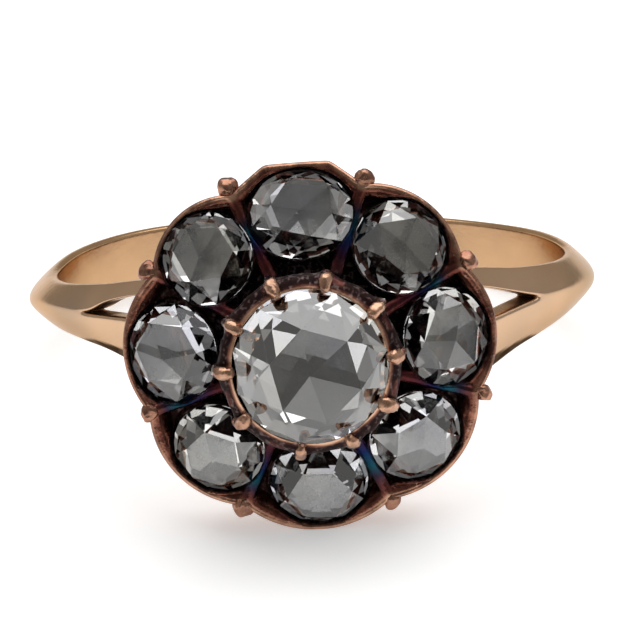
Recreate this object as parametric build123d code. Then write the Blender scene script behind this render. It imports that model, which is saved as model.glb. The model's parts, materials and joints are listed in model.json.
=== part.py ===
"""An old cluster ring: a split gold shank, a closed-back head of eight lobes, a raised collet with
ten claws, one large rose-cut stone and eight smaller ones round it. Millimetres.

The ring is drawn with its head towards +Z and the finger hole along Y, and then laid on its side.
"""

from build123d import *
from math import atan2, cos, degrees, radians, sin, tan
import os

# Finger hole and shank
BORE = 17.3
BORE_R = BORE / 2
SPLIT_ANGLE = 38.0

# Band sections from the back of the ring up to the head, evenly spaced, one table for each side.
# turn: degrees round the hole above its middle, run: straight length past the split,
# low and high: the edges along the hole, thick: at the crest, edge: height of the side walls.
RIGHT_BAND = (
    # turn, run, low, high, thick, edge
    (-90.0, 0.00, -0.72, 0.97, 1.00, 0.36),
    (-69.0, 0.00, -0.73, 0.95, 1.00, 0.36),
    (-47.5, 0.00, -0.75, 0.91, 1.01, 0.35),
    (-26.0, 0.00, -0.78, 0.95, 1.02, 0.34),
    (-5.0, 0.00, -0.83, 0.94, 1.03, 0.32),
    (16.5, 0.00, -0.80, 1.02, 1.03, 0.30),
    (SPLIT_ANGLE, 0.00, -1.19, 1.30, 1.03, 0.30),
    (SPLIT_ANGLE, 2.65, -1.90, 1.78, 1.03, 0.34),
    (SPLIT_ANGLE, 5.30, -2.36, 2.14, 1.00, 0.42),
)
LEFT_BAND = (
    # turn, run, low, high, thick, edge
    (-90.0, 0.00, -0.72, 0.97, 1.00, 0.36),
    (-69.0, 0.00, -0.71, 1.05, 1.00, 0.36),
    (-47.5, 0.00, -0.68, 1.11, 1.01, 0.35),
    (-26.0, 0.00, -0.66, 1.02, 1.02, 0.34),
    (-5.0, 0.00, -0.72, 0.84, 1.03, 0.32),
    (16.5, 0.00, -0.62, 0.93, 1.03, 0.30),
    (SPLIT_ANGLE, 0.00, -0.74, 1.27, 1.03, 0.30),
    (SPLIT_ANGLE, 2.65, -1.24, 1.76, 1.03, 0.34),
    (SPLIT_ANGLE, 5.30, -1.70, 2.10, 1.00, 0.42),
)

# The gap that splits each shoulder, as corners on the flat of the shoulder
RIGHT_GAP = (
    # run, place along the hole
    (-0.10, 0.46),
    (3.40, 1.46),
    (6.40, 1.72),
    (6.40, -0.02),
    (2.60, 0.16),
)
LEFT_GAP = (
    # run, place along the hole
    (0.35, 0.70),
    (3.20, 1.50),
    (6.40, 1.72),
    (6.40, 0.72),
    (2.40, 0.66),
)

# Lobed head
HEAD_BOTTOM = 9.0
HEAD_TOP = 12.4
GIRDLE_Z = 11.0
GIRDLE_R = 4.45
STONE_TILT = 18.0
HEAD_DRAFT = 30.0
LOBE_R = 6.08
LOBE_WIDE_Z = 10.75
FLAT_LOBE = 0
FLAT_LOBE_HALF = 1.07
RIM_WALL = 0.28
RIM_RISE = 0.30
FLOOR_DROP = 0.55
CUP_WALL = 0.16
CUP_LIP = 0.02

# Outer stones, counted clockwise from the top of the photographed view
OUTER_STONES = (
    # angle, radius, across, outwards
    (92.0, 4.45, 3.44, 2.92),
    (47.0, 4.45, 3.08, 3.02),
    (3.0, 4.43, 3.22, 2.88),
    (-42.5, 4.48, 3.08, 3.00),
    (-88.5, 4.42, 3.20, 3.04),
    (-134.5, 4.45, 3.05, 3.00),
    (180.0, 4.48, 3.30, 3.00),
    (136.3, 4.48, 3.05, 3.02),
)
# The six corners of each stone's hexagon, cut by eye: where they face, and how far out they lie as
# a share of the way to the girdle
CENTRE_CORNERS = ((40, 0.62), (98, 0.58), (163, 0.51), (232, 0.56), (287, 0.65), (342, 0.66))
OUTER_CORNERS = (
    # facing and share of each corner
    ((40, 0.78), (110, 0.67), (162, 0.55), (228, 0.55), (287, 0.62), (349, 0.62)),
    ((41, 0.72), (106, 0.63), (182, 0.72), (254, 0.52), (308, 0.62), (353, 0.74)),
    ((41, 0.67), (110, 0.62), (161, 0.76), (211, 0.74), (265, 0.70), (336, 0.63)),
    ((33, 0.62), (92, 0.66), (157, 0.60), (214, 0.68), (276, 0.62), (331, 0.58)),
    ((2, 0.66), (63, 0.60), (118, 0.64), (183, 0.66), (239, 0.58), (300, 0.62)),
    ((24, 0.60), (88, 0.66), (143, 0.62), (207, 0.58), (263, 0.66), (326, 0.64)),
    ((23, 0.77), (75, 0.65), (140, 0.56), (227, 0.57), (280, 0.76), (326, 0.78)),
    ((11, 0.75), (69, 0.70), (120, 0.60), (200, 0.55), (271, 0.62), (323, 0.74)),
)
# The grain at the junction that follows each stone, clockwise
GRAINS = (
    # angle, radius
    (70.3, 5.84),
    (27.0, 5.86),
    (-17.6, 5.84),
    (-64.7, 5.78),
    (-114.7, 5.76),
    (-159.8, 5.70),
    (152.2, 5.87),
    (115.1, 5.94),
)
VALLEY_R = 5.57
GRAIN_R = 0.27
GRAIN_RISE = 0.20

# Bars of solder between neighbouring stones
BAR_R = 0.20
BAR_FROM = 2.75
BAR_RISE = -0.04

# Rose cut proportions, as shares of a stone's half width
HEXAGON_RISE = 0.58
APEX_RISE = 0.67
GIRDLE_WALL = 0.16

# Seats
STONE_GAP = 0.04
SEAT_POINTS = 24
SEAT_SHARE = 0.84
CUP_DEPTH = 1.25
CUP_FLOOR_SHARE = 0.62

# Centre collet, its claws and its stone
CENTRE_Z = 13.9
CENTRE_R = 2.60
COLLET_FROM = 10.3
COLLET_TOP_R = 2.80
COLLET_BASE_R = 2.32
COLLET_RISE = 0.04
COLLET_CUP_DEPTH = 2.7
CLAW_ANGLES = (113.2, 77.5, 39.3, 4.9, -28.5, -63.4, -98.1, -143.3, 181.8, 150.0)
CLAW_R = 0.20
CLAW_TIP_R = 0.25
CLAW_TIP_AT = 2.66
CLAW_RISE = 0.20
CLAW_FOOT = 1.7


def polar(radius, angle, z=0.0):
    return Vector(radius * cos(radians(angle)), radius * sin(radians(angle)), z)


def band_section(turn, run, low, high, thick, edge, side):
    """One D-shaped section, flat towards the finger. side is 1 for the right, -1 for the left."""
    out = Vector(side * cos(radians(turn)), 0, sin(radians(turn)))
    along = Vector(-side * sin(radians(turn)), 0, cos(radians(turn)))
    base = out * BORE_R + along * run
    depth = Vector(0, 1, 0)
    inner_low = base + depth * low
    inner_high = base + depth * high
    outer_low = inner_low + out * edge
    outer_high = inner_high + out * edge
    crest = base + depth * ((low + high) / 2) + out * thick
    edges = (
        Line(inner_low, inner_high),
        Line(inner_high, outer_high),
        ThreePointArc(outer_high, crest, outer_low),
        Line(outer_low, inner_low),
    )
    return Face(Wire(edges))


def shoulder_gap(corners, side):
    """A prism through the shoulder, square to its flat."""
    out = Vector(side * cos(radians(SPLIT_ANGLE)), 0, sin(radians(SPLIT_ANGLE)))
    along = Vector(-side * sin(radians(SPLIT_ANGLE)), 0, cos(radians(SPLIT_ANGLE)))
    points = [out * (BORE_R - 1) + along * run + Vector(0, place, 0) for run, place in corners]
    face = Face(Wire.make_polygon(points, close=True))
    return extrude(face, amount=3.2, dir=out)


def half_shank(table, gap, side):
    sections = [band_section(*row, side) for row in table]
    return loft(sections) - shoulder_gap(gap, side)


def shank():
    return half_shank(RIGHT_BAND, RIGHT_GAP, 1) + half_shank(LEFT_BAND, LEFT_GAP, -1)


def lobe_outline(z, inset=0.0):
    """The flower shape of the head at one height: an arc for each lobe, three lines for the flat one."""
    shift = (z - LOBE_WIDE_Z) * tan(radians(HEAD_DRAFT)) - inset
    edges = []
    for number, (angle, _, _, _) in enumerate(OUTER_STONES):
        start = polar(VALLEY_R + shift, GRAINS[number - 1][0], z)
        end = polar(VALLEY_R + shift, GRAINS[number][0], z)
        crest = polar(LOBE_R + shift, angle, z)
        if number == FLAT_LOBE:
            half = polar(FLAT_LOBE_HALF, angle - 90)
            edges += [Line(start, crest - half), Line(crest - half, crest + half), Line(crest + half, end)]
        else:
            edges.append(ThreePointArc(start, crest, end))
    return Face(Wire(edges))


def lobed_block(inset=0.0):
    return loft([lobe_outline(HEAD_BOTTOM, inset), lobe_outline(HEAD_TOP, inset)], ruled=True)


def under_roof(rise):
    """Everything below a cone that falls outwards as the outer stones tilt."""
    fall = tan(radians(STONE_TILT))
    reach = 9.0
    peak = GIRDLE_Z + rise + GIRDLE_R * fall
    eave = peak - reach * fall
    profile = Polyline((0, 0, 0), (0, 0, peak), (reach, 0, eave), (reach, 0, 0), close=True)
    return revolve(Face(Wire(profile.edges())), Axis.Z)


def stone_plane(angle, radius):
    """The girdle plane of an outer stone: x round the head, y outwards, z out of the stone."""
    origin = polar(radius, angle, GIRDLE_Z + (GIRDLE_R - radius) * tan(radians(STONE_TILT)))
    outward = polar(sin(radians(STONE_TILT)), angle, cos(radians(STONE_TILT)))
    return Plane(origin=origin, x_dir=polar(1, angle - 90), z_dir=outward)


def oval(across, outwards, facing, z=0.0, grow=0.0):
    """A point on an oval edge, in the direction that it faces."""
    turn = radians(facing)
    return Vector((across / 2 + grow) * cos(turn), (outwards / 2 + grow) * sin(turn), z)


def oval_face(across, outwards, z, grow=0.0):
    step = 360 / SEAT_POINTS
    points = [oval(across, outwards, step * number, z, grow) for number in range(SEAT_POINTS)]
    return Face(Wire.make_polygon(points, close=True))


def shell(faces):
    return Solid(Shell([Face(Wire.make_polygon(list(corners), close=True)) for corners in faces]))


def dropped(edge, first, second, third):
    """Where a facet through three points meets the oval edge, or the point on it that is low enough."""
    normal = (second - first).cross(third - first)
    chord = (second + third) * 0.5
    fall = normal.dot(edge - chord) / normal.Z
    share = min(1.0, (GIRDLE_WALL - 0.03) / fall)
    point = chord + (edge - chord) * share
    return Vector(point.X, point.Y, -fall * share)


def rose_cut(across, outwards, corners):
    """A flat-based rose cut: six facets at the apex, eighteen round them and a low girdle wall."""
    half = min(across, outwards) / 2
    facing = [corner[0] for corner in corners]
    between = [(facing[side] + (facing[(side + 1) % 6] - facing[side]) % 360 / 2) for side in range(6)]
    hexagon = []
    for angle, share in corners:
        point = oval(across, outwards, angle) * share
        hexagon.append(Vector(point.X, point.Y, half * HEXAGON_RISE))
    apex = Vector(0, 0, half * APEX_RISE)
    faces, edge = [], []
    for side in range(6):
        here, after = hexagon[side], hexagon[(side + 1) % 6]
        corner = oval(across, outwards, facing[side])
        middle = oval(across, outwards, between[side])
        before = oval(across, outwards, between[side - 1])
        left = oval(across, outwards, facing[side] - (facing[side] - between[side - 1]) % 360 / 2)
        right = oval(across, outwards, facing[side] + (between[side] - facing[side]) % 360 / 2)
        left = dropped(left, here, before, corner)
        right = dropped(right, here, corner, middle)
        faces += [(apex, here, after), (here, middle, after)]
        faces += [(here, before, left, corner), (here, corner, right, middle)]
        edge += [left, corner, right, middle]
    foot = [Vector(point.X, point.Y, -GIRDLE_WALL) for point in edge]
    for step in range(len(edge)):
        later = (step + 1) % len(edge)
        faces.append((edge[step], foot[step], foot[later], edge[later]))
    faces.append(tuple(reversed(foot)))
    return shell(faces)


def seat(across, outwards, depth):
    """What a stone's pocket takes out of the metal: its room, and a closed cup below a narrow ledge."""
    low = -GIRDLE_WALL - STONE_GAP
    room = [oval_face(across, outwards, z, STONE_GAP) for z in (low, APEX_RISE * across / 2)]
    cup = [
        oval_face(across * SEAT_SHARE, outwards * SEAT_SHARE, low + 0.01),
        oval_face(across * CUP_FLOOR_SHARE, outwards * CUP_FLOOR_SHARE, low - depth),
    ]
    return loft(room, ruled=True) + loft(cup, ruled=True)


def cup_block(angle, radius, across, outwards):
    """The wall of an outer stone's cup, before its pocket is cut, level with the girdle."""
    plane = stone_plane(angle, radius)
    walls = [oval_face(across, outwards, z, CUP_WALL) for z in (-1.6, CUP_LIP)]
    return plane * loft(walls, ruled=True)


def bead(radius):
    """A small round bead turned from four straight cuts."""
    steps = [radians(turn) for turn in (-90, -58, -22, 22, 58, 90)]
    profile = [(radius * cos(turn), 0, radius * sin(turn)) for turn in steps]
    return revolve(Face(Wire.make_polygon(profile, close=True)), Axis.Z)


def grain(angle, radius):
    z = GIRDLE_Z + GRAIN_RISE - (radius - GIRDLE_R) * tan(radians(STONE_TILT))
    return Pos(polar(radius, angle, z)) * bead(GRAIN_R)


def bar(angle, radius):
    """A round bar between two stones, from the collet out to the grain at the rim."""
    fall = radians(STONE_TILT)
    z = GIRDLE_Z + BAR_RISE + (GIRDLE_R - BAR_FROM) * tan(fall)
    outwards = polar(cos(fall), angle, -sin(fall))
    start = Plane(origin=polar(BAR_FROM, angle, z), z_dir=outwards)
    return start * extrude(Circle(BAR_R), amount=(radius - BAR_FROM) / cos(fall))


def claw(angle):
    """A post up the outside of the collet with a rounded tip over the stone's edge."""
    lean = degrees(atan2(COLLET_TOP_R - COLLET_BASE_R, CENTRE_Z - COLLET_FROM))
    tip_z = CENTRE_Z + CLAW_RISE
    upward = polar(sin(radians(lean)), angle, cos(radians(lean)))
    foot = polar(COLLET_TOP_R - CLAW_FOOT * sin(radians(lean)), angle, tip_z - CLAW_FOOT)
    post = Plane(origin=foot, z_dir=upward) * extrude(Circle(CLAW_R), amount=CLAW_FOOT)
    return post + Pos(polar(CLAW_TIP_AT, angle, tip_z)) * bead(CLAW_TIP_R)


def collet():
    height = CENTRE_Z + COLLET_RISE - COLLET_FROM
    tube = Pos(0, 0, COLLET_FROM + height / 2) * Cone(COLLET_BASE_R, COLLET_TOP_R, height)
    for angle in CLAW_ANGLES:
        tube += claw(angle)
    return tube


def head():
    """The whole setting, before the stones' pockets are cut."""
    block = lobed_block()
    wall = block - lobed_block(RIM_WALL)
    metal = (block & under_roof(-FLOOR_DROP)) + (wall & under_roof(RIM_RISE))
    for row in OUTER_STONES:
        metal += cup_block(*row) & block
    for row in GRAINS:
        metal += bar(*row)
        metal += grain(*row)
    return metal + collet()


def pockets():
    cuts = [Pos(0, 0, CENTRE_Z) * seat(2 * CENTRE_R, 2 * CENTRE_R, COLLET_CUP_DEPTH)]
    for angle, radius, across, outwards in OUTER_STONES:
        cuts.append(stone_plane(angle, radius) * seat(across, outwards, CUP_DEPTH))
    return cuts


def stones():
    placed = {"centre_stone": Pos(0, 0, CENTRE_Z) * rose_cut(2 * CENTRE_R, 2 * CENTRE_R, CENTRE_CORNERS)}
    for number, (angle, radius, across, outwards) in enumerate(OUTER_STONES):
        stone = rose_cut(across, outwards, OUTER_CORNERS[number])
        placed[f"outer_stone_{number + 1}"] = stone_plane(angle, radius) * stone
    return placed


def laid(shape, lean):
    """Turn the head to face -Y and then up by lean degrees."""
    return Rot(X=90 - lean) * shape


def resting_lean(front, back):
    """The lean at which the head's lowest lobe and the back of the shank touch the same floor."""
    low, high = 5.0, 30.0
    for _ in range(20):
        lean = (low + high) / 2
        if laid(front, lean).bounding_box().min.Z < laid(back, lean).bounding_box().min.Z:
            low = lean
        else:
            high = lean
    return lean


band = shank()
setting = head()
lean = resting_lean(setting, band)
mount = band + setting
for pocket in pockets():
    mount -= pocket
pieces = {"ring_mount": mount} | stones()

laid_pieces = {name: laid(shape, lean) for name, shape in pieces.items()}
whole = Compound(children=[Compound(shape.solids()) for shape in laid_pieces.values()]).bounding_box()
centre = Pos(-(whole.min.X + whole.max.X) / 2, -(whole.min.Y + whole.max.Y) / 2, -whole.min.Z)
print(f"lean {lean:.3f} degrees, moved by {centre.position}")
print(f"size {whole.size}")

os.makedirs("parts", exist_ok=True)
for name, shape in laid_pieces.items():
    placed = centre * shape
    export_step(placed.solids()[0] if len(placed.solids()) == 1 else placed, f"parts/{name}.step")
    print(name, len(placed.solids()), "solid", round(placed.volume, 3), "mm3")
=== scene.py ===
# %% [markdown]
# # An old rose-cut cluster ring
#
# A gold ring lies on its side. Its head is a flower of eight closed cups round a raised collet, and
# all nine stones are rose cuts: flat underneath, with facets that meet in a point. This file dresses
# the measured model with real-looking metal and stones, one piece at a time.

# %% Load the measured model
import json
import math

import bmesh
import bpy
import numpy as np
from mathutils import Matrix, Vector
from mathutils.noise import noise as noise3


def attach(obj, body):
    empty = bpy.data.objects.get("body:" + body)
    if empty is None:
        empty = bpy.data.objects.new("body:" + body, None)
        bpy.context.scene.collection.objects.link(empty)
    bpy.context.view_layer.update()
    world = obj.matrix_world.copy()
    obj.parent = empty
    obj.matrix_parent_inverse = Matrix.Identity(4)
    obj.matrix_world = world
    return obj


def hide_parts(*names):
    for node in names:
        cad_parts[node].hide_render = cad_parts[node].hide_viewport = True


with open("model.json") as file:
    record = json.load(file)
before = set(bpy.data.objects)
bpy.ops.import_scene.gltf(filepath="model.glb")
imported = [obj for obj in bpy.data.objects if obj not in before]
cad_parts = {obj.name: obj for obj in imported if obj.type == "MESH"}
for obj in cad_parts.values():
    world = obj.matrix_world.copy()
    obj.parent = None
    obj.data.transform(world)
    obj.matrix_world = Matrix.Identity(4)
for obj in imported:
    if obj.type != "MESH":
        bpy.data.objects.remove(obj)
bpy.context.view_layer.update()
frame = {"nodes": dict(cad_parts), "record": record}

# %% [markdown]
# ## The ring's own axes
#
# The ring leans as it lies, so nothing on it is level. It is much easier to think in the ring's own
# directions: `ACROSS` runs from shoulder to shoulder, `ALONG` through the finger hole, and `FACING`
# straight out of the head. The finger hole's place and axis are stored with the model, and the
# other directions follow from them. `place` turns millimetres on the ring into a point of the scene.

# %% Work out the ring's axes
MM = 0.001
finger_hole = frame["record"]["mounts"][0]
HOLE_CENTRE = Vector(finger_hole["pos_m"])
ACROSS = Vector((1, 0, 0))
ALONG = Vector(finger_hole["axis"]).normalized()
FACING = ACROSS.cross(ALONG)
RING_TO_SCENE = Matrix((ACROSS, ALONG, FACING)).transposed()


def direction(x, y, z):
    return RING_TO_SCENE @ Vector((x, y, z))


def place(x, y, z):
    return HOLE_CENTRE + direction(x, y, z) * MM


print("lean of the ring", round(math.degrees(math.asin(FACING.z)), 2), "degrees")

# %% [markdown]
# ## Camera
#
# The photograph is taken with a long lens from slightly above the head's own direction, and the
# ring is turned a little in the picture. A camera far away with a very long lens keeps the same
# flat perspective. It is aimed just beside the hole's centre, so no lens shift is needed.

# %% Set up the camera
VIEW_ABOVE_HEAD = math.radians(10.4)
VIEW_TURN = math.radians(-0.7)
VIEW_ROLL = math.radians(2.35)
CAMERA_DISTANCE_MM = 220.0
PIXELS_PER_MM = 29.25
PICTURE_PIXELS = 640
HOLE_PIXEL = (312.0, 287.4)


def make_camera():
    camera = bpy.data.objects.new("camera", bpy.data.cameras.new("camera"))
    bpy.context.scene.collection.objects.link(camera)
    camera.data.lens = PIXELS_PER_MM * CAMERA_DISTANCE_MM * camera.data.sensor_width / PICTURE_PIXELS
    camera.data.clip_start = 0.01
    camera.data.clip_end = 10.0
    level = direction(math.cos(VIEW_TURN), 0, math.sin(VIEW_TURN))
    back = direction(
        -math.sin(VIEW_TURN) * math.cos(VIEW_ABOVE_HEAD),
        math.sin(VIEW_ABOVE_HEAD),
        math.cos(VIEW_TURN) * math.cos(VIEW_ABOVE_HEAD),
    )
    upright = back.cross(level)
    right = level * math.cos(VIEW_ROLL) - upright * math.sin(VIEW_ROLL)
    up = level * math.sin(VIEW_ROLL) + upright * math.cos(VIEW_ROLL)
    middle = PICTURE_PIXELS / 2
    aside = right * (middle - HOLE_PIXEL[0]) + up * (HOLE_PIXEL[1] - middle)
    position = HOLE_CENTRE + back * CAMERA_DISTANCE_MM * MM
    aim = HOLE_CENTRE + aside / PIXELS_PER_MM * MM
    back = (position - aim).normalized()
    right = up.cross(back).normalized()
    turn = Matrix((right, back.cross(right), back)).transposed().to_4x4()
    camera.matrix_world = Matrix.Translation(position) @ turn
    bpy.context.scene.camera = camera
    return camera


camera = make_camera()
print("lens", round(camera.data.lens), "mm")

# %% [markdown]
# ## Helpers for meshes and node trees
#
# Three small helpers keep the later cells short: one turns lists of points and faces into an object,
# one makes an empty material, and one adds a shader node with its inputs already set.


# %% Write the helpers
def mesh_object(name, points, faces):
    mesh = bpy.data.meshes.new(name)
    mesh.from_pydata([tuple(p) for p in points], [], faces)
    mesh.update()
    piece = bpy.data.objects.new(name, mesh)
    bpy.context.scene.collection.objects.link(piece)
    return piece


def new_material(name):
    material = bpy.data.materials.new(name)
    material.use_nodes = True
    surface = material.node_tree.nodes["Principled BSDF"]
    return material, material.node_tree, surface


def add(tree, kind, inputs=None, **settings):
    node = tree.nodes.new(kind)
    for key, value in settings.items():
        setattr(node, key, value)
    for key, value in (inputs or {}).items():
        if isinstance(value, bpy.types.NodeSocket):
            tree.links.new(value, node.inputs[key])
        else:
            node.inputs[key].default_value = value
    return node


def settle(piece, slot, *nodes):
    """The last words about a finished piece: its body, its slot, which is not used, and what it stands for.
    """
    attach(piece, "root")
    if nodes:
        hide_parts(*nodes)
    print(piece.name, len(piece.data.polygons), "faces")
    return piece


# %% [markdown]
# ## Shank
#
# The shank is a polished band, flat inside and domed outside. Towards the head it widens, and a long
# gap splits it into two branches. A sweep can't split, so the band is built as a grid of four-sided
# faces: rings of points at stations along the band. Past the start of the gap each ring divides into
# an upper and a lower loop, joined by the gap's walls. Subdivision then rounds every edge evenly,
# which a boolean cut would not.

# %% Lay out the band
BORE_R = 17.3 / 2
SPLIT_ANGLE = 38.0
RIGHT_BAND = (
    # turn, run, low, high, thick, edge
    (-90.0, 0.00, -0.72, 0.97, 1.00, 0.36),
    (-69.0, 0.00, -0.73, 0.95, 1.00, 0.36),
    (-47.5, 0.00, -0.75, 0.91, 1.01, 0.35),
    (-26.0, 0.00, -0.78, 0.95, 1.02, 0.34),
    (-5.0, 0.00, -0.83, 0.94, 1.03, 0.32),
    (16.5, 0.00, -0.80, 1.10, 1.03, 0.30),
    (SPLIT_ANGLE, 0.00, -1.19, 1.42, 1.03, 0.30),
    (SPLIT_ANGLE, 2.65, -1.90, 1.86, 1.03, 0.34),
    (SPLIT_ANGLE, 5.30, -2.36, 2.14, 1.00, 0.42),
)
LEFT_BAND = (
    # turn, run, low, high, thick, edge
    (-90.0, 0.00, -0.72, 0.97, 1.00, 0.36),
    (-69.0, 0.00, -0.71, 1.05, 1.00, 0.36),
    (-47.5, 0.00, -0.68, 1.11, 1.01, 0.35),
    (-26.0, 0.00, -0.66, 1.02, 1.02, 0.34),
    (-5.0, 0.00, -0.72, 0.84, 1.03, 0.32),
    (16.5, 0.00, -0.62, 1.00, 1.03, 0.30),
    (SPLIT_ANGLE, 0.00, -0.74, 1.40, 1.03, 0.30),
    (SPLIT_ANGLE, 2.65, -1.24, 1.88, 1.03, 0.34),
    (SPLIT_ANGLE, 5.30, -1.70, 2.20, 1.00, 0.42),
)
# run, lower edge and upper edge of the gap; its first row is the sharp end
RIGHT_GAP = ((-0.10, 0.46, 0.46), (2.60, 0.16, 1.23), (5.30, 0.03, 1.62))
LEFT_GAP = ((0.25, 0.54, 0.54), (1.05, 0.57, 1.00), (2.60, 0.66, 1.40), (5.30, 0.72, 1.63))
STATIONS = 44
HALF_LOOP = 5
WALL_STEPS = 2
# the ridge leaves the band's middle this many millimetres before the split, and runs into the gap
RIDGE_BEND = 5.0
RIDGE_EASE = 1.2
RIDGE_SOFTNESS = 0.22
RIDGE_BULGE = 1.15


def smooth_rows(table, count):
    """Rows between the table's rows, on a smooth curve through them."""
    rows = np.array(table, float)
    at = np.linspace(0, len(rows) - 1, count)
    found = []
    for t in at:
        i = min(int(t), len(rows) - 2)
        p = [rows[min(max(i + k, 0), len(rows) - 1)] for k in (-1, 0, 1, 2)]
        u = t - i
        found.append(
            0.5
            * (
                2 * p[1]
                + (p[2] - p[0]) * u
                + (2 * p[0] - 5 * p[1] + 4 * p[2] - p[3]) * u * u
                + (3 * p[1] - p[0] - 3 * p[2] + p[3]) * u**3
            )
        )
    return np.array(found)


def dome_height(y, ridge, low, high, thick, edge):
    """Height of the outer surface at y: it falls from a soft ridge to the edges."""
    away = (y - ridge) / (high - ridge if y > ridge else ridge - low)
    soft = RIDGE_SOFTNESS
    fall = (math.hypot(away, soft) - soft) / (math.hypot(1, soft) - soft)
    return thick - (thick - edge) * fall**RIDGE_BULGE


print("band stations on each side", STATIONS)


# %% Build one side of the shank
def half_band(table, gap, side):
    """Points and faces of one side, from the back of the ring to the head."""
    rows = smooth_rows(table, STATIONS)
    at = np.linspace(0, len(table) - 1, STATIONS)
    turns = np.interp(at, range(len(table)), [r[0] for r in table])
    runs = np.interp(at, range(len(table)), [r[1] for r in table])
    gap_runs, gap_low, gap_high = zip(*gap)
    arc_length = math.radians(1) * BORE_R
    points, faces, loops = [], [], []
    for number in range(STATIONS):
        turn, run = turns[number], runs[number]
        low, high, thick, edge = rows[number][2:]
        out = Vector((side * math.cos(math.radians(turn)), 0, math.sin(math.radians(turn))))
        ahead = Vector((-side * math.sin(math.radians(turn)), 0, math.cos(math.radians(turn))))
        base = out * BORE_R + ahead * run
        travel = run if run > 0 else (turn - SPLIT_ANGLE) * arc_length
        split = travel > gap_runs[0]
        opening = [float(np.interp(travel, gap_runs, side_of_gap)) for side_of_gap in (gap_low, gap_high)]
        if not split:
            share = min(max(1 + travel / RIDGE_BEND, 0), 1) ** RIDGE_EASE
            line = opening[0] * share + (low + high) / 2 * (1 - share)
            opening = (line, line)
        ridge = (opening[0] + opening[1]) / 2

        def put(y, height):
            points.append(tuple(place(*(base + out * height + Vector((0, y, 0))))))
            return len(points) - 1

        def put_outside(y):
            return put(y, dome_height(y, ridge, low, high, thick, edge))

        steps = [k / HALF_LOOP for k in range(HALF_LOOP + 1)]
        lower_in = [put(low + (opening[0] - low) * t, 0) for t in steps]
        upper_in = [put(opening[1] + (high - opening[1]) * t, 0) for t in steps]
        upper_out = [put_outside(high + (opening[1] - high) * t) for t in steps]
        lower_out = [put_outside(opening[0] + (low - opening[0]) * t) for t in steps]
        walls = []
        for y in opening:
            top = dome_height(y, ridge, low, high, thick, edge)
            walls.append([put(y, top * k / (WALL_STEPS + 1)) for k in range(1, WALL_STEPS + 1)])
        loops.append((lower_in, upper_in, upper_out, lower_out, walls, split))

    def strip(first, second):
        for k in range(len(first) - 1):
            faces.append((first[k], first[k + 1], second[k + 1], second[k]))

    for now, later in zip(loops, loops[1:]):
        for part in range(4):
            strip(now[part], later[part])
        strip((now[1][-1], now[2][0]), (later[1][-1], later[2][0]))
        strip((now[3][-1], now[0][0]), (later[3][-1], later[0][0]))
        if later[5]:
            strip(
                (now[0][-1], *now[4][0], now[3][0]),
                (later[0][-1], *later[4][0], later[3][0]),
            )
            strip(
                (now[2][-1], *reversed(now[4][1]), now[1][0]),
                (later[2][-1], *reversed(later[4][1]), later[1][0]),
            )
    last = loops[-1]
    faces.append((*last[0], *last[4][0], *last[3]))
    faces.append((*last[1], *last[2], *reversed(last[4][1])))
    return points, faces


def make_shank():
    points, faces = [], []
    for table, gap, side in ((RIGHT_BAND, RIGHT_GAP, 1), (LEFT_BAND, LEFT_GAP, -1)):
        more, found = half_band(table, gap, side)
        faces += [tuple(i + len(points) for i in face) for face in found]
        points += more
    piece = mesh_object("shank", points, faces)
    build = bmesh.new()
    build.from_mesh(piece.data)
    bmesh.ops.remove_doubles(build, verts=build.verts, dist=2e-7)
    loose = [v for v in build.verts if not v.link_faces]
    bmesh.ops.delete(build, geom=loose, context="VERTS")
    bmesh.ops.recalc_face_normals(build, faces=build.faces)
    open_edges = sum(1 for e in build.edges if len(e.link_faces) != 2)
    build.to_mesh(piece.data)
    build.free()
    piece.data.polygons.foreach_set("use_smooth", [True] * len(piece.data.polygons))
    rounding = piece.modifiers.new("rounding", "SUBSURF")
    rounding.levels = rounding.render_levels = 2
    print("open edges in the shank", open_edges)
    return piece


shank = make_shank()

# %% [markdown]
# ## Lobed setting
#
# The closed setting under the stones is modelled as one skin, like a pot on a wheel. Every ring of
# points runs once round the head, and the rings climb from the flat back up the flared wall, over
# the rounded rim and inwards to the collet. Along the way a height function shapes the metal: a
# slope from the rim to the stones, a rounded bar between each pair of stones, a deep moat round the
# collet and a cup under each stone. The bars run out to the junctions of the lobes.

# %% Describe the setting
HEAD_BOTTOM = 9.0
GIRDLE_Z = 11.0
GIRDLE_R = 4.45
FALL = math.tan(math.radians(18.0))
HEAD_DRAFT = math.tan(math.radians(30.0))
LOBE_R = 6.08
VALLEY_R = 5.57
WIDEST_Z = 10.75
FLAT_LOBE = 0
FLAT_HALF = 1.07
RIM_ROLL = 0.14
RIM_RISE = 0.32
BAR_R = 0.24
BAR_RISE = -0.07
CUP_LIP = 0.10
CUP_RISE = 0.09
WALL_THICKNESS = 0.05
WEB_DROP = 0.42
MOAT_DROP = 0.7
MOAT_R = 3.3
SEAT_DROP = 0.22
CUP_DEPTH = 1.05
COLUMNS = 720
WALL_ROWS = 22
ROLL_ROWS = 5
OUTER_STONES = (
    # angle, radius, across, outwards
    (92.0, 4.45, 3.44, 2.92),
    (47.0, 4.45, 3.08, 3.02),
    (3.0, 4.43, 3.22, 2.88),
    (-42.5, 4.48, 3.08, 3.00),
    (-88.5, 4.42, 3.20, 3.04),
    (-134.5, 4.45, 3.05, 3.00),
    (180.0, 4.48, 3.30, 3.00),
    (136.3, 4.48, 3.05, 3.02),
)
GRAINS = (
    # angle, radius
    (70.3, 5.84),
    (27.0, 5.86),
    (-17.6, 5.84),
    (-64.7, 5.78),
    (-114.7, 5.76),
    (-159.8, 5.70),
    (152.2, 5.87),
    (115.1, 5.94),
)


def polar(radius, angle):
    return np.array((radius * math.cos(math.radians(angle)), radius * math.sin(math.radians(angle))))


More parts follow.
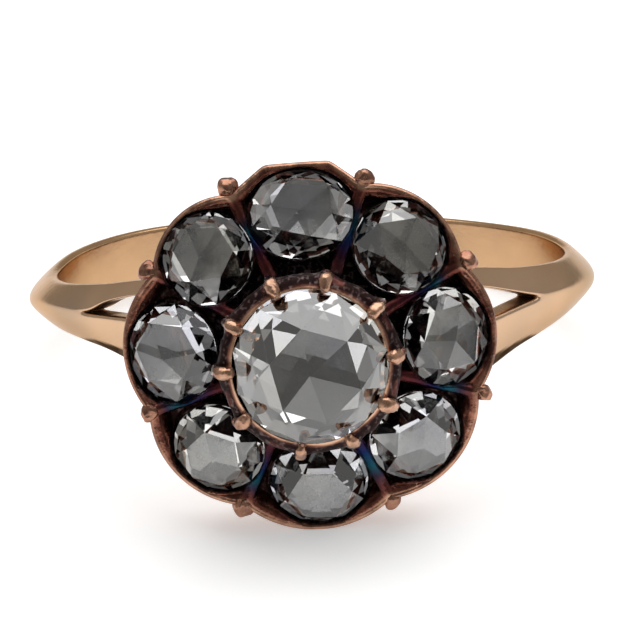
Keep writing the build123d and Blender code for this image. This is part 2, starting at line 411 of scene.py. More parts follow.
def ray_to_line(angles, start, end):
    """Distance along each ray from the middle to the line through start and end."""
    normal = np.array((end[1] - start[1], start[0] - end[0]))
    return normal @ start / (normal[0] * np.cos(angles) + normal[1] * np.sin(angles))


def ray_to_arc(angles, start, middle, end):
    """Distance along each ray to the circle through three points."""
    points = np.array((start, middle, end))
    centre = np.linalg.solve(2 * (points[1:] - points[0]), (points[1:] ** 2 - points[0] ** 2).sum(axis=1))
    radius = np.linalg.norm(points[0] - centre)
    ahead = centre[0] * np.cos(angles) + centre[1] * np.sin(angles)
    return ahead + np.sqrt(radius**2 - centre @ centre + ahead**2)


def flower_outline(angles):
    """Distance from the middle to the lobed outline at its widest level, softened at the corners."""
    found = np.zeros(len(angles))
    for number, stone in enumerate(OUTER_STONES):
        first, last = GRAINS[number - 1][0], GRAINS[number][0]
        inside = (np.degrees(angles) - last) % 360 <= (first - last) % 360
        start, end, crest = polar(VALLEY_R, first), polar(VALLEY_R, last), polar(LOBE_R, stone[0])
        if number == FLAT_LOBE:
            half = polar(FLAT_HALF, stone[0] - 90)
            sides = [(start, crest - half), (crest - half, crest + half), (crest + half, end)]
            reach = np.min([ray_to_line(angles[inside], *side) for side in sides], axis=0)
        else:
            reach = ray_to_arc(angles[inside], start, crest, end)
        found[inside] = reach
    for _ in range(6):
        found = (np.roll(found, 1) + 2 * found + np.roll(found, -1)) / 4
    return found


def step_up(value, low, high):
    t = np.clip((value - low) / (high - low), 0, 1)
    return t * t * (3 - 2 * t)


def higher(a, b, blend):
    """The higher of two surfaces, with a fillet of solder where they meet."""
    t = np.clip(0.5 + (a - b) / (2 * blend), 0, 1)
    return b + (a - b) * t + blend * t * (1 - t)


print("stones round the collet", len(OUTER_STONES))


# %% Shape the setting's inside
def stone_distance(x, y):
    """Distance outside the nearest outer stone's edge, negative under the stone."""
    nearest = np.full(x.shape, 9.0)
    for angle, radius, across, outwards in OUTER_STONES:
        centre, beside = polar(radius, angle), polar(1, angle - 90)
        u = (x - centre[0]) * beside[0] + (y - centre[1]) * beside[1]
        v = ((x - centre[0]) * -beside[1] + (y - centre[1]) * beside[0]) / math.cos(math.radians(18))
        share = np.hypot(u / (across / 2), v / (outwards / 2))
        nearest = np.minimum(nearest, (share - 1) * (across + outwards) / 4)
    return nearest


def inside_height(x, y, to_rim, crest):
    """Height of the metal inside the rim; to_rim is the distance in from the rim's outer edge."""
    radius = np.hypot(x, y)
    cone = GIRDLE_Z + (GIRDLE_R - radius) * FALL
    beyond = stone_distance(x, y)
    recess = cone - WEB_DROP - MOAT_DROP * step_up(MOAT_R - radius, 0, 0.35)
    bank = cone + RIM_RISE - RIM_ROLL * FALL - 2.0 * np.maximum(to_rim - RIM_ROLL, 0) ** 2
    moat = 0.30 * step_up(0.13 - beyond, 0, 0.06) * step_up(to_rim, 0.14, 0.18)
    height = higher(bank - moat, recess, 0.10)
    for angle, reach in GRAINS:
        along = x * math.cos(math.radians(angle)) + y * math.sin(math.radians(angle))
        aside = y * math.cos(math.radians(angle)) - x * math.sin(math.radians(angle))
        rise = BAR_RISE + 0.16 * step_up(along, 4.9, 5.7)
        bar = cone + rise + np.sqrt(np.maximum(BAR_R**2 - aside**2, 0))
        bar = bar - 0.6 * step_up(np.abs(aside), BAR_R * 0.95, BAR_R * 1.3)
        bar = np.where(along > 0, bar, recess - 1)
        height = higher(bar, height, 0.04)
    lip = cone + CUP_RISE - 0.7 * step_up(beyond, CUP_LIP * 0.7, CUP_LIP * 1.5)
    lip = lip - 0.5 * step_up(radius, 4.6, 5.2)
    height = higher(lip, height, 0.02)
    cup = cone - SEAT_DROP - CUP_DEPTH * step_up(-beyond, 0.12, 0.5)
    cup = np.maximum(cup, crest - (to_rim - WALL_THICKNESS) / HEAD_DRAFT)
    return cup + (height - cup) * step_up(beyond, 0.0, 0.04)


# %% Spin the setting's skin
def setting_rows():
    """The rings of the skin, from the back to the middle, as pairs of radius and height arrays."""
    angles = np.radians(np.arange(COLUMNS) * 360 / COLUMNS)
    outline = flower_outline(angles)
    crest_z = GIRDLE_Z + RIM_RISE + (GIRDLE_R - outline) * FALL
    reach = outline + (crest_z - WIDEST_Z) * HEAD_DRAFT
    rows = []
    foot = outline + (HEAD_BOTTOM - WIDEST_Z) * HEAD_DRAFT
    for share in (0.02, 0.3, 0.6, 0.85, 0.95, 0.985):
        rows.append((foot * share, np.full(COLUMNS, HEAD_BOTTOM)))
    for share in np.linspace(0, 1, WALL_ROWS - len(rows)):
        z = HEAD_BOTTOM + 0.04 + (crest_z - RIM_ROLL - HEAD_BOTTOM - 0.04) * share
        rows.append((outline + (z - WIDEST_Z) * HEAD_DRAFT, z))
    for turn in np.radians(90) * np.arange(1, ROLL_ROWS + 1) / (ROLL_ROWS + 1):
        rows.append((reach - RIM_ROLL * (1 - math.cos(turn)), crest_z - RIM_ROLL * (1 - math.sin(turn))))
    inner = 2.5
    for share in np.linspace(0, 1, 80):
        radius = reach - RIM_ROLL + (inner - reach + RIM_ROLL) * share
        x, y = radius * np.cos(angles), radius * np.sin(angles)
        rows.append((radius, inside_height(x, y, reach - radius, crest_z)))
    rows.append((np.full(COLUMNS, 0.1), np.full(COLUMNS, 10.2)))
    return angles, rows


def spun_skin(name, angles, rows):
    """A closed skin from rings of points, capped at both ends."""
    count = len(angles)
    points = []
    for radii, heights in rows:
        points += [place(r * math.cos(a), r * math.sin(a), z) for r, z, a in zip(radii, heights, angles)]
    faces = []
    for row in range(len(rows) - 1):
        for k in range(count):
            a, b = row * count + k, row * count + (k + 1) % count
            faces.append((a, b, b + count, a + count))
    faces.append(tuple(reversed(range(count))))
    faces.append(tuple(range((len(rows) - 1) * count, len(rows) * count)))
    piece = mesh_object(name, points, faces)
    piece.data.polygons.foreach_set("use_smooth", [True] * len(faces))
    return piece


setting = spun_skin("lobed_setting", *setting_rows())
print("lobed setting", len(setting.data.polygons), "faces")

# %% [markdown]
# ## Centre collet
#
# The collet is spun in the same way, from its foot in the moat up the rough wall, over a bevelled
# shoulder to a thin lip at the stone, and down again inside to a dark cup. The wall swells a little
# under each of the ten claws, as if it had been filed away between them.

# %% Spin the collet
CENTRE_Z = 13.9
COLLET_PROFILE = (
    # radius, height
    (0.05, 10.15),
    (2.20, 10.15),
    (2.36, 10.25),
    (2.48, 11.00),
    (2.62, 11.80),
    (2.76, 12.60),
    (2.86, 13.05),
    (2.93, 13.35),
    (2.95, 13.55),
    (2.90, 13.72),
    (2.80, 13.83),
    (2.70, 13.91),
    (2.61, 13.98),
    (2.55, 14.03),
    (2.52, 14.03),
    (2.53, 13.98),
    (2.64, 13.92),
    (2.64, 13.70),
    (2.20, 13.68),
    (2.12, 13.50),
    (1.90, 12.60),
    (1.62, 11.20),
    (0.05, 11.10),
)
CLAW_ANGLES = (113.2, 77.5, 39.3, 4.9, -28.5, -63.4, -98.1, -143.3, 181.8, 150.0)
SWELL = 0.10
SWELL_WIDTH = 5.5


def collet_rows():
    angles = np.radians(np.arange(0, 360, 0.75))
    rows = []
    profile = np.array(COLLET_PROFILE)
    lengths = np.concatenate(([0], np.cumsum(np.hypot(*np.diff(profile, axis=0).T))))
    at = np.unique(np.concatenate((lengths, np.linspace(lengths[2], lengths[17], 44))))
    swelling = np.zeros(len(angles))
    for angle in CLAW_ANGLES:
        away = (np.degrees(angles) - angle + 180) % 360 - 180
        swelling += SWELL * np.exp(-((away / SWELL_WIDTH) ** 2))
    for t in at:
        radius, z = np.interp(t, lengths, profile[:, 0]), np.interp(t, lengths, profile[:, 1])
        outside = step_up(t, lengths[3], lengths[6]) * step_up(lengths[12] - t, 0, 0.35)
        lumps = np.array([noise3(Vector((math.cos(a) * 6, math.sin(a) * 6, z * 2.4))) for a in angles])
        dips = np.array([noise3(Vector((math.cos(a) * 2, math.sin(a) * 2, 7.0))) for a in angles])
        on_lip = step_up(z, 13.85, 14.0)
        rows.append((radius + (swelling + 0.06 * lumps) * outside, z + 0.05 * dips * on_lip))
    return angles, rows


collet = spun_skin("centre_collet", *collet_rows())
print("collet", len(collet.data.polygons), "faces")

# %% [markdown]
# ## Claws and grains
#
# Ten claws hold the middle stone and eight grains cover the junctions of the lobes. Each set repeats
# one small shape, so Geometry Nodes place them: a cloud of points gives every copy its place and
# turn, and random values with a fixed seed give every copy its own size. A little noise makes them
# lumpy, as hand-filed metal is.


# %% Build the node group that repeats a lump
def lumps_on_points():
    """A geometry node group: lumpy copies of one shape, one on each point of the incoming mesh."""
    group = bpy.data.node_groups.new("lumps_on_points", "GeometryNodeTree")
    face = group.interface
    face.new_socket("Points", in_out="INPUT", socket_type="NodeSocketGeometry")
    for label, kind in (
        ("Shape", "NodeSocketObject"),
        ("Smallest", "NodeSocketFloat"),
        ("Largest", "NodeSocketFloat"),
        ("Lumps", "NodeSocketFloat"),
        ("Lump Scale", "NodeSocketFloat"),
        ("Seed", "NodeSocketInt"),
        ("Finish", "NodeSocketMaterial"),
    ):
        face.new_socket(label, in_out="INPUT", socket_type=kind)
    face.new_socket("Copies", in_out="OUTPUT", socket_type="NodeSocketGeometry")
    ask = add(group, "NodeGroupInput").outputs
    points = add(group, "GeometryNodeMeshToPoints", {"Mesh": ask["Points"]})
    shape = add(group, "GeometryNodeObjectInfo", {"Object": ask["Shape"]})
    turn = add(group, "GeometryNodeInputNamedAttribute", {"Name": "turn"}, data_type="FLOAT_VECTOR")
    rotation = add(group, "FunctionNodeEulerToRotation", {"Euler": turn.outputs["Attribute"]})
    size = add(
        group,
        "FunctionNodeRandomValue",
        {2: ask["Smallest"], 3: ask["Largest"], "Seed": ask["Seed"]},
        data_type="FLOAT",
    )
    copies = add(
        group,
        "GeometryNodeInstanceOnPoints",
        {"Points": points.outputs["Points"], "Instance": shape.outputs["Geometry"]}
        | {"Rotation": rotation.outputs["Rotation"], "Scale": size.outputs[1]},
    )
    real = add(group, "GeometryNodeRealizeInstances", {"Geometry": copies.outputs["Instances"]})
    noise = add(group, "ShaderNodeTexNoise", {"Scale": ask["Lump Scale"], "Detail": 2.0})
    middle = {0: noise.outputs["Color"], 1: (0.5, 0.5, 0.5)}
    centred = add(group, "ShaderNodeVectorMath", middle, operation="SUBTRACT")
    scaled = {0: centred.outputs[0], "Scale": ask["Lumps"]}
    push = add(group, "ShaderNodeVectorMath", scaled, operation="SCALE")
    moved = {"Geometry": real.outputs["Geometry"], "Offset": push.outputs[0]}
    lumpy = add(group, "GeometryNodeSetPosition", moved)
    smooth = add(group, "GeometryNodeSetShadeSmooth", {0: lumpy.outputs["Geometry"]})
    finished = add(group, "GeometryNodeSetMaterial", {0: smooth.outputs[0], "Material": ask["Finish"]})
    add(group, "NodeGroupOutput", {"Copies": finished.outputs[0]})
    return group


lumps = lumps_on_points()
print("node group inputs", [i.name for i in lumps.interface.items_tree if i.in_out == "INPUT"])


# %% Write the functions that run it
def applied(piece):
    """Turn the piece into a plain mesh with its modifiers applied."""
    graph = bpy.context.evaluated_depsgraph_get()
    mesh = bpy.data.meshes.new_from_object(piece.evaluated_get(graph))
    piece.modifiers.clear()
    piece.data = mesh
    return piece


def facing_out(angle):
    """Rotation whose x runs round the head, y outwards and z out of the head."""
    beside, outwards = direction(*polar(1, angle - 90), 0), direction(*polar(1, angle), 0)
    return Matrix((beside, outwards, FACING)).transposed().to_euler()


def repeat_shape(name, shape, spots, values):
    """Copy a shape to spots, which are pairs of place and turn, and keep a plain mesh."""
    piece = mesh_object(name, [spot for spot, _ in spots], [])
    turn = piece.data.attributes.new("turn", "FLOAT_VECTOR", "POINT")
    turn.data.foreach_set("vector", [v for _, angle in spots for v in angle])
    nodes = piece.modifiers.new("copies", "NODES")
    nodes.node_group = lumps
    values = {"Shape": shape, **values}
    for item in lumps.interface.items_tree:
        if item.name in values:
            nodes[item.identifier] = values[item.name]
    applied(piece)
    bpy.data.objects.remove(shape)
    return piece


def tube(name, path, sides=18):
    """A bent bar: a circle swept along points of y, z and radius, in the plane of x = 0."""
    spine = np.array(path)
    fine = np.linspace(0, len(spine) - 1, 6 * len(spine))
    spine = np.column_stack([np.interp(fine, range(len(spine)), spine[:, k]) for k in range(3)])
    for _ in range(4):
        spine[1:-1] = (spine[:-2] + 2 * spine[1:-1] + spine[2:]) / 4
    ahead = np.gradient(spine[:, :2], axis=0)
    ahead /= np.linalg.norm(ahead, axis=1)[:, None]
    points, faces = [], []
    for (y, z, radius), (dy, dz) in zip(spine, ahead):
        for k in range(sides):
            turn = 2 * math.pi * k / sides
            aside, up = radius * math.cos(turn), radius * math.sin(turn)
            points.append((aside * MM, (y - up * dz) * MM, (z + up * dy) * MM))
    for row in range(len(spine) - 1):
        for k in range(sides):
            a, b = row * sides + k, row * sides + (k + 1) % sides
            faces.append((a, b, b + sides, a + sides))
    faces.append(tuple(reversed(range(sides))))
    faces.append(tuple(range(len(points) - sides, len(points))))
    return mesh_object(name, points, faces)


def ball(name, radius, flat):
    """A round grain, flattened a little along the head's own direction."""
    piece = mesh_object(name, [], [])
    build = bmesh.new()
    bmesh.ops.create_icosphere(build, subdivisions=4, radius=radius * MM)
    bmesh.ops.scale(build, vec=(1, 1, flat), verts=build.verts)
    build.to_mesh(piece.data)
    build.free()
    return piece


# %% Place the claws and the grains
CLAW_PATH = (
    # outwards, upwards, radius
    (-0.08, -1.80, 0.13),
    (0.06, -1.10, 0.16),
    (0.17, -0.62, 0.17),
    (0.22, -0.30, 0.19),
    (0.17, -0.04, 0.215),
    (0.04, 0.12, 0.235),
    (-0.10, 0.16, 0.22),
    (-0.22, 0.15, 0.18),
    (-0.30, 0.12, 0.05),
)
claws = repeat_shape(
    "claws",
    tube("claw", CLAW_PATH),
    [(place(*polar(2.76, angle), 14.02), facing_out(angle)) for angle in CLAW_ANGLES],
    {"Smallest": 0.90, "Largest": 1.10, "Lumps": 0.26 * MM, "Lump Scale": 2200.0, "Seed": 4},
)
grains = repeat_shape(
    "junction_grains",
    ball("grain", 0.31, 0.85),
    [(place(*polar(r - 0.04, a), GIRDLE_Z + 0.16 + (GIRDLE_R - r) * FALL), facing_out(a)) for a, r in GRAINS],
    {"Smallest": 1.00, "Largest": 1.20, "Lumps": 0.34 * MM, "Lump Scale": 1700.0, "Seed": 7},
)
print("claws", len(claws.data.polygons), "faces; grains", len(grains.data.polygons), "faces")

# %% [markdown]
# ## Where the metal is worn, sooty or blued, and where light and shade are painted
#
# The head's colours follow its shape. Raised parts are made bright, partly for wear and partly as a
# painted highlight that is stronger on the top and bottom lobes; hollows are darkened, partly by soot
# and partly as painted shade, and the thin gap between the rim and each stone is painted black as
# shade. The solder bars between the stones were blued by the heat of a repair, and the cups under
# the stones are silvery. These four masks are worked out from each point's place on the ring and
# stored in one colour attribute, so the same material dresses every piece of the head. A second
# attribute tells how far along its bar a point lies, for the bands of temper colour.


# %% Write the helpers that store masks
def on_ring(piece):
    """The piece's points in the ring's own millimetres, one row each."""
    points = np.empty(len(piece.data.vertices) * 3)
    piece.data.vertices.foreach_get("co", points)
    return (points.reshape(-1, 3) - np.array(HOLE_CENTRE)) @ np.array(RING_TO_SCENE) / MM


def store(piece, name, kind, values):
    attribute = piece.data.attributes.new(name, kind, "POINT")
    attribute.data.foreach_set("value" if kind == "FLOAT" else "color", np.ravel(values))


def blued_bars(x, y, above):
    """How blued each point is, and how far along its bar it lies."""
    blue, bar_place = np.zeros(len(x)), np.zeros(len(x))
    for angle, _ in GRAINS:
        along = x * math.cos(math.radians(angle)) + y * math.sin(math.radians(angle))
        aside = y * math.cos(math.radians(angle)) - x * math.sin(math.radians(angle))
        there = np.clip((along - 3.0) / (5.6 - 3.0), 0, 1)
        near = step_up(along, 2.7, 2.9) * step_up(5.6 - along, 0, 0.3)
        near = near * step_up(0.30 - np.abs(aside), 0, 0.10) * step_up(above, -0.30, -0.12)
        bar_place = np.where(near > blue, there, bar_place)
        blue = np.maximum(blue, near)
    return blue, bar_place


print("masks are read in millimetres on the ring, for example", on_ring(shank).max(axis=0).round(2))


# %% Paint the head's masks
def paint_head(piece):
    x, y, z = on_ring(piece).T
    radius = np.hypot(x, y)
    above = z - GIRDLE_Z - (GIRDLE_R - radius) * FALL
    angles = np.arctan2(y, x)
    table = np.linspace(-math.pi, math.pi, 1441)
    inset = np.interp(angles, table, flower_outline(table)) - radius
    beyond = stone_distance(x, y)
    # partly wear and partly painted highlight: the crest and outer edge of the rim are painted bright
    wear_and_highlight = step_up(above, 0.20, 0.36) * step_up(radius, 4.6, 5.0)
    wear_and_highlight = wear_and_highlight * step_up(0.18 - np.abs(inset - 0.02), 0, 0.16)
    # painted highlight: the rim is painted brighter on the top and bottom lobes than at the sides
    wear_and_highlight = wear_and_highlight * (0.45 + 0.55 * step_up(np.abs(y), 2.0, 4.6))
    if piece.name == "junction_grains":
        wear_and_highlight = 0.35 * step_up(above, 0.15, 0.40)
    wear_and_highlight = np.maximum(wear_and_highlight, step_up(z, 13.96, 14.03) * (0.6 if piece.name == "claws" else 1))
    # partly soot and partly painted shade: metal sunk below the stones' cone, away from the rim, is darkened
    soot_and_shade = step_up(-above, 0.05, 0.50) * step_up(inset, 0.2, 0.5)
    # painted shade: the thin gap between the rim and each stone is painted black
    soot_and_shade = np.maximum(soot_and_shade, step_up(0.13 - beyond, 0, 0.06) * step_up(0.17 - above, 0, 0.06))
    in_cup = step_up(-beyond, 0.04, 0.12) * step_up(radius, 2.7, 3.0)
    centre_cup = step_up(2.5 - radius, 0, 0.1) * step_up(z, 11.0, 11.05) * (piece.name == "centre_collet")
    in_cup = np.maximum(in_cup, 0.7 * centre_cup)
    soot_and_shade = soot_and_shade * (1 - in_cup)
    # darker low on the collet and in the moat
    soot_and_shade = np.maximum(soot_and_shade, step_up(13.2 - z, 0, 1.2) * step_up(3.3 - radius, 0, 0.2))
    if piece.name == "centre_collet":
        soot_and_shade = np.maximum(soot_and_shade, 0.94 * step_up(14.0 - z, 0, 0.06))
    blue, bar_place = blued_bars(x, y, above)
    soot_and_shade = soot_and_shade * (1 - 0.8 * blue)
    if piece.name == "lobed_setting":
        row = np.arange(len(x)) // COLUMNS
        inside = row >= WALL_ROWS + ROLL_ROWS
        soot_and_shade, blue, in_cup = soot_and_shade * inside, blue * inside, in_cup * inside
        wear_and_highlight = np.maximum(wear_and_highlight, 0.55 * (row < WALL_ROWS))
    masks = np.stack((wear_and_highlight, soot_and_shade, blue, in_cup), axis=1)
    store(piece, "finish", "FLOAT_COLOR", masks)
    store(piece, "bar_place", "FLOAT", bar_place)
    # the worn figure includes painted highlight, and the sooty figure includes painted shade
    print(piece.name, "worn", round(float(wear_and_highlight.mean()), 2), "sooty", round(float(soot_and_shade.mean()), 2))


for piece in (setting, collet, claws, grains):
    paint_head(piece)

# %% [markdown]
# ## Aged gold for the head
#
# Rose gold with copper in it turns red-brown and then nearly black. The material starts from the
# dark skin, sprinkled with lighter specks as painted glints, and mixes bright metal back in where
# the mask of wear and painted highlight and a blotchy noise agree. The blued bars go through a ramp
# of temper colours, driven by a noise, as heated metal shows them in bands. Where soot and painted
# shade lie, a near-black colour takes over, its light specks again painted glints. Pits and hammer
# marks come from two bump layers.


# %% Write helpers for shader nodes
def mix(tree, factor, first, second):
    node = add(tree, "ShaderNodeMix", data_type="RGBA")
    for key, value in ((0, factor), (6, first), (7, second)):
        if isinstance(value, bpy.types.NodeSocket):
            tree.links.new(value, node.inputs[key])
        else:
            node.inputs[key].default_value = value
    return node.outputs[2]


def ramp(tree, factor, *stops):
    node = add(tree, "ShaderNodeValToRGB", {"Fac": factor})
    elements = node.color_ramp.elements
    while len(elements) < len(stops):
        elements.new(0.5)
    for element, (at, colour) in zip(elements, stops):
        element.position = at
        element.color = colour if isinstance(colour, tuple) else (colour, colour, colour, 1)
    return node.outputs["Color"]


def noise(tree, where, scale, detail=3.0, roughness=0.5):
    values = {"Vector": where, "Scale": scale, "Detail": detail, "Roughness": roughness}
    return add(tree, "ShaderNodeTexNoise", values).outputs["Fac"]


def times(tree, a, b):
    return add(tree, "ShaderNodeMath", {0: a, 1: b}, operation="MULTIPLY").outputs[0]


def plus(tree, a, b):
    return add(tree, "ShaderNodeMath", {0: a, 1: b}, operation="ADD").outputs[0]


def remap(tree, value, low, high, start=0.0, end=1.0):
    """Turn values from start to end into values from low to high."""
    values = {"Value": value, "From Min": start, "From Max": end, "To Min": low, "To Max": high}
    return add(tree, "ShaderNodeMapRange", values).outputs[0]


print("shader helpers ready")


# %% Mix the aged gold
def aged_gold():
    material, tree, surface = new_material("aged_gold")
    where = add(tree, "ShaderNodeTexCoord").outputs["Object"]
    masks = add(tree, "ShaderNodeAttribute", attribute_name="finish").outputs
    split = add(tree, "ShaderNodeSeparateColor", {"Color": masks["Color"]}).outputs
    blotches = noise(tree, where, 1500.0, 4.0, 0.6)
    specks = noise(tree, where, 6500.0, 2.0)
    drift = remap(tree, noise(tree, where, 380.0, 1.0), -0.35, 0.35)
    bar_place = add(tree, "ShaderNodeAttribute", attribute_name="bar_place").outputs["Fac"]
    along_bar = plus(tree, bar_place, drift)
    uneven = ramp(tree, blotches, (0.35, 0.0), (0.65, 1.0))
    skin = mix(tree, uneven, (0.085, 0.024, 0.020, 1), (0.36, 0.135, 0.088, 1))
    # painted glints: small lighter specks on the dark skin
    skin = mix(tree, ramp(tree, specks, (0.62, 0.0), (0.70, 0.7)), skin, (0.42, 0.27, 0.22, 1))
    blued = ramp(
        tree,
        along_bar,
        (0.05, (0.085, 0.020, 0.020, 1)),
        (0.22, (0.040, 0.013, 0.026, 1)),
        (0.40, (0.010, 0.020, 0.080, 1)),
        (0.60, (0.011, 0.066, 0.090, 1)),
        (0.74, (0.030, 0.024, 0.045, 1)),
        (0.90, (0.13, 0.040, 0.030, 1)),
    )
    skin = mix(tree, split["Blue"], skin, blued)
    # blotchy bright metal where the mask of wear and painted highlight says so
    patchy_worn_and_lit = ramp(tree, blotches, (0.30, 0.35), (0.60, 1.0))
    bright = times(tree, split["Red"], patchy_worn_and_lit)
    skin = mix(tree, bright, skin, (0.80, 0.50, 0.33, 1))
    # painted glints: light specks in the near-black colour of soot and painted shade
    painted_glints = ramp(tree, specks, (0.52, 0.0), (0.68, 1.0))
    crust_shade_and_glints = mix(tree, painted_glints, (0.010, 0.007, 0.008, 1), (0.13, 0.095, 0.09, 1))
    # near-black colour where the mask of soot and painted shade says so
    skin = mix(tree, split["Green"], skin, crust_shade_and_glints)
    skin = mix(tree, masks["Alpha"], skin, (0.50, 0.49, 0.46, 1))
    tree.links.new(skin, surface.inputs["Base Color"])
    surface.inputs["Metallic"].default_value = 1.0
    rough = plus(tree, times(tree, split["Green"], 0.35), remap(tree, blotches, 0.16, 0.36))
    tree.links.new(rough, surface.inputs["Roughness"])
    dents = add(tree, "ShaderNodeBump", {"Height": blotches, "Strength": 0.35, "Distance": 0.00012})
    pits = add(tree, "ShaderNodeBump", {"Height": specks, "Strength": 0.35, "Distance": 0.00003})
    tree.links.new(dents.outputs["Normal"], pits.inputs["Normal"])
    tree.links.new(pits.outputs["Normal"], surface.inputs["Normal"])
    return material


head_gold = aged_gold()
for piece in (setting, collet, claws, grains):
    piece.data.materials.clear()
    piece.data.materials.append(head_gold)
    settle(piece, "old_gold", "ring_mount")

# %% [markdown]
# ## Polished gold for the shank
#
# The shank is smoother than the head. Wear polishes it, but never evenly: a wide noise varies the
# roughness, a stretched one leaves fine scratches, and greyer patches come and go. Two masks add
# painted light and shade that depend on the place: the inside of the band is painted darker and
# warmer, as painted shade and the warm light that gold throws back onto gold, and painted shade sits
# in the sharp end of each gap, with a painted dark reflection along the lower edge of the shoulders.


# %% Mix the polished gold
def polished_gold():
    material, tree, surface = new_material("polished_gold")
    where = add(tree, "ShaderNodeTexCoord").outputs["Object"]
    clouds = noise(tree, where, 260.0, 4.0, 0.6)
    stretched = add(tree, "ShaderNodeMapping", {"Vector": where, "Scale": (1.0, 0.08, 1.0)}).outputs[0]
    scratches = noise(tree, stretched, 9000.0, 2.0)
    masks = add(tree, "ShaderNodeAttribute", attribute_name="finish").outputs["Color"]
    split = add(tree, "ShaderNodeSeparateColor", {"Color": masks}).outputs
    colour = mix(tree, clouds, (0.54, 0.35, 0.22, 1), (0.72, 0.50, 0.34, 1))
    patches = ramp(tree, noise(tree, where, 190.0, 2.0), (0.46, 0.0), (0.64, 0.7))
    colour = mix(tree, patches, colour, (0.40, 0.30, 0.225, 1))
    # painted shade and painted warm reflection: the inside of the band is painted darker and warmer than the
    # outside
    warm = mix(tree, noise(tree, where, 520.0, 3.0), (0.42, 0.25, 0.14, 1), (0.66, 0.41, 0.21, 1))
    colour = mix(tree, times(tree, split["Blue"], 0.85), colour, warm)
    # painted shade and painted dark reflection: near-black colour in the gap's sharp end and along the lower
    # edge near the head
    painted_shade_and_reflection = times(tree, split["Green"], ramp(tree, noise(tree, where, 900.0, 3.0), (0.25, 0.8), (0.55, 1.0)))
    colour = mix(tree, painted_shade_and_reflection, colour, (0.035, 0.018, 0.012, 1))
    tree.links.new(colour, surface.inputs["Base Color"])
    surface.inputs["Metallic"].default_value = 1.0
    surface.inputs["Specular Tint"].default_value = (0.78, 0.66, 0.54, 1)
    rough = plus(tree, times(tree, painted_shade_and_reflection, 0.4), remap(tree, clouds, 0.12, 0.30))
    tree.links.new(rough, surface.inputs["Roughness"])
    dents = add(tree, "ShaderNodeBump", {"Height": clouds, "Strength": 0.12, "Distance": 0.0003})
    lines = add(tree, "ShaderNodeBump", {"Height": scratches, "Strength": 0.12, "Distance": 0.00002})
    tree.links.new(dents.outputs["Normal"], lines.inputs["Normal"])
    tree.links.new(lines.outputs["Normal"], surface.inputs["Normal"])
    return material


print("polished gold is mixed from a base, patches, a warm inside and grime")


# %% Paint the shank's masks
def paint_shank(piece):
    """Masks for the shank: painted shade in the gap, a painted dark reflection along the lower edge, and a
    darker, warmer inside.
    """
    x, y, z = on_ring(piece).T
    # the inside mask marks the band's inner face, which is painted darker and warmer as painted shade and
    # warm reflected light
    painted_shade_and_reflection, inside = np.zeros(len(x)), step_up(BORE_R + 0.22 - np.hypot(x, z), 0, 0.12)
    for table, gap, side in ((RIGHT_BAND, RIGHT_GAP, 1), (LEFT_BAND, LEFT_GAP, -1)):
        out = np.array((side * math.cos(math.radians(SPLIT_ANGLE)), math.sin(math.radians(SPLIT_ANGLE))))
        height = x * out[0] + z * out[1] - BORE_R
        run = (z * out[0] - x * out[1]) * side
        here = (x * side > 0) & (run > -2.5)
        runs, lows, highs = zip(*gap)
        low_edge = np.interp(run, (0, 2.65, 5.30), [row[2] for row in table[-3:]])
        in_gap = step_up(y - np.interp(run, runs, lows), -0.03, 0.02)
        in_gap = in_gap * step_up(np.interp(run, runs, highs) - y, -0.03, 0.02)
        # painted shade: the sharp end of the gap is darkened, where shade falls in the crotch
        crotch = in_gap * step_up(0.90 - height, 0, 0.12) * step_up(run, runs[0] - 0.5, runs[0] + 0.1)
        reach = np.clip(0.34 + 0.12 * run, 0.1, 0.70)
        # painted dark reflection: a dark streak along the lower edge near the head, where the edge mirrors
        # the shaded floor
        streak = step_up(run, -1.4, -0.6) * step_up(reach - (y - low_edge), 0, 0.08)
        painted_shade_and_reflection = np.maximum(painted_shade_and_reflection, here * crotch * (1 - 0.8 * step_up(run, runs[0] + 0.7, runs[0] + 1.4)))
        painted_shade_and_reflection = np.maximum(painted_shade_and_reflection, here * streak)
    nothing = np.zeros(len(x))
    store(piece, "finish", "FLOAT_COLOR", np.stack((nothing, painted_shade_and_reflection, inside, nothing), axis=1))
    print("dark_painted share of the shank", round(float(painted_shade_and_reflection.mean()), 3))


applied(shank)
paint_shank(shank)
shank.data.materials.append(polished_gold())
settle(shank, "old_gold", "ring_mount")

# %% [markdown]
# ## Rose-cut diamonds
#
# The stones keep the measured facets, because a cut stone is nothing but its planes. Refraction
# does most of the work: an index of 2.42 bends light so strongly that each facet shows another part
# of the cup or the room. Old stones are never quite clean, so two noises add a faint warm or lilac
# cast and a few dark specks, and every stone reads its own part of them.

# %% Cut light with the stones
def rose_cut_diamond():
    material, tree, surface = new_material("rose_cut_diamond")
    where = add(tree, "ShaderNodeTexCoord").outputs["Object"]
    casts = noise(tree, where, 420.0, 2.0)
    body = ramp(
        tree,
        casts,
        (0.38, (0.90, 0.88, 0.80, 1)),
        (0.50, (0.90, 0.91, 0.90, 1)),
        (0.62, (0.85, 0.86, 0.94, 1)),
    )
    cells = add(tree, "ShaderNodeTexVoronoi", {"Vector": where, "Scale": 1500.0}, feature="F1")
    flaws = plus(tree, cells.outputs["Distance"], noise(tree, where, 5200.0, 2.0))
    dark = ramp(tree, flaws, (0.30, 1.0), (0.36, 0.0))
    tree.links.new(mix(tree, dark, body, (0.35, 0.33, 0.31, 1)), surface.inputs["Base Color"])
    surface.inputs["Transmission Weight"].default_value = 1
    surface.inputs["IOR"].default_value = 2.42
    haze = remap(tree, noise(tree, where, 1600.0), 0.0, 0.05, 0.5, 0.8)
    tree.links.new(haze, surface.inputs["Roughness"])
    return material


diamond = rose_cut_diamond()
for name, node in frame["nodes"].items():
    node.data.materials.clear()
    node.data.materials.append(diamond)
    node.data.polygons.foreach_set("use_smooth", [False] * len(node.data.polygons))
print("stones dressed", [name for name in frame["nodes"] if name != "ring_mount"])
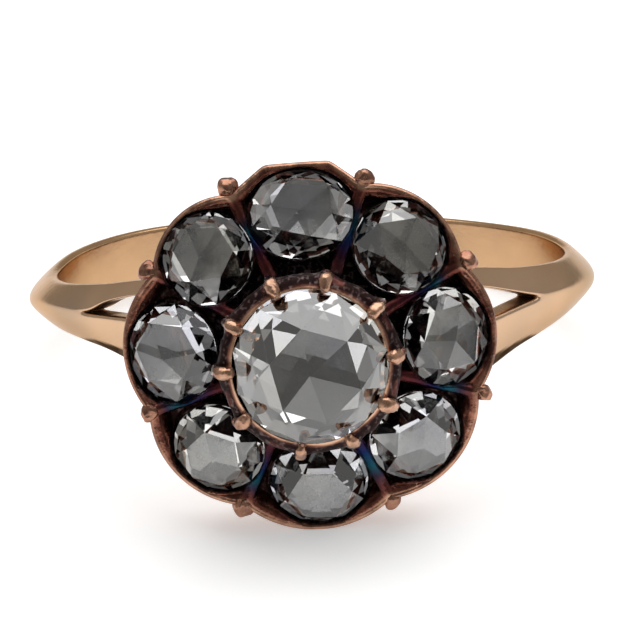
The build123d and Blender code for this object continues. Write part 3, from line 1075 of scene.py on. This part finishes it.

# %% [markdown]
# ## Floor and light
#
# The photograph has a plain white ground and soft light. One large box above gives most of it. The
# pale sheet glows a little under the ring, as on a light table, which keeps the shadow faint. The
# room is dimmer behind the camera, and the floor far from the ring is painted dark grey as painted
# shade: the flat middle facets mirror just that part, and need it to look dark beside the bright ones.

# %% Lay the floor
HALF_FLOOR = 0.6
corners = [(x * HALF_FLOOR, y * HALF_FLOOR, 0) for x, y in ((-1, -1), (1, -1), (1, 1), (-1, 1))]
floor = mesh_object("floor", corners, [(0, 1, 2, 3)])
paper, tree, surface = new_material("pale_floor")
surface.inputs["Roughness"].default_value = 0.8
surface.inputs["Specular IOR Level"].default_value = 0.1
surface.inputs["Emission Color"].default_value = (1, 1, 1, 1)
spot = add(tree, "ShaderNodeTexCoord").outputs["Object"]
away = add(tree, "ShaderNodeVectorMath", {0: spot}, operation="LENGTH").outputs["Value"]
tree.links.new(remap(tree, away, 0.36, 0.0, 0.02, 0.07), surface.inputs["Emission Strength"])
# painted shade: the floor's colour falls from pale near the ring to dark grey farther out
pale = ramp(tree, away, (0.045, (0.9, 0.9, 0.9, 1)), (0.105, (0.27, 0.27, 0.27, 1)))
tree.links.new(pale, surface.inputs["Base Color"])
floor.data.materials.append(paper)
print("floor", 2 * HALF_FLOOR, "m wide")

# %% Hang the soft box
BOX_PLACE = Vector((0.02, 0.06, 0.25))
lamp = bpy.data.lights.new("overhead", "AREA")
lamp.shape = "RECTANGLE"
lamp.size, lamp.size_y = 0.38, 0.34
lamp.energy = 0.72
box = bpy.data.objects.new("overhead", lamp)
box.location = BOX_PLACE
box.rotation_euler = (Vector((0, 0, 0.005)) - BOX_PLACE).to_track_quat("-Z", "Y").to_euler()
bpy.context.scene.collection.objects.link(box)
print("soft box", lamp.energy, "W")

# %% Dim the room behind the camera
studio = bpy.data.worlds.new("studio")
bpy.context.scene.world = studio
studio.use_nodes = True
background = studio.node_tree.nodes["Background"]
background.inputs["Color"].default_value = (1.0, 0.985, 0.96, 1)
tree = studio.node_tree
to_camera = (camera.matrix_world.translation - HOLE_CENTRE).normalized()
look = add(tree, "ShaderNodeTexCoord").outputs["Generated"]
nearness = add(tree, "ShaderNodeVectorMath", {0: look, 1: to_camera}, operation="DOT_PRODUCT")
strength = remap(tree, nearness.outputs["Value"], 0.42, 0.18, 0.55, 0.95)
tree.links.new(strength, background.inputs["Strength"])
bpy.context.scene.view_settings.view_transform = "Standard"
print("room strength falls from 0.42 to 0.18 towards the camera")
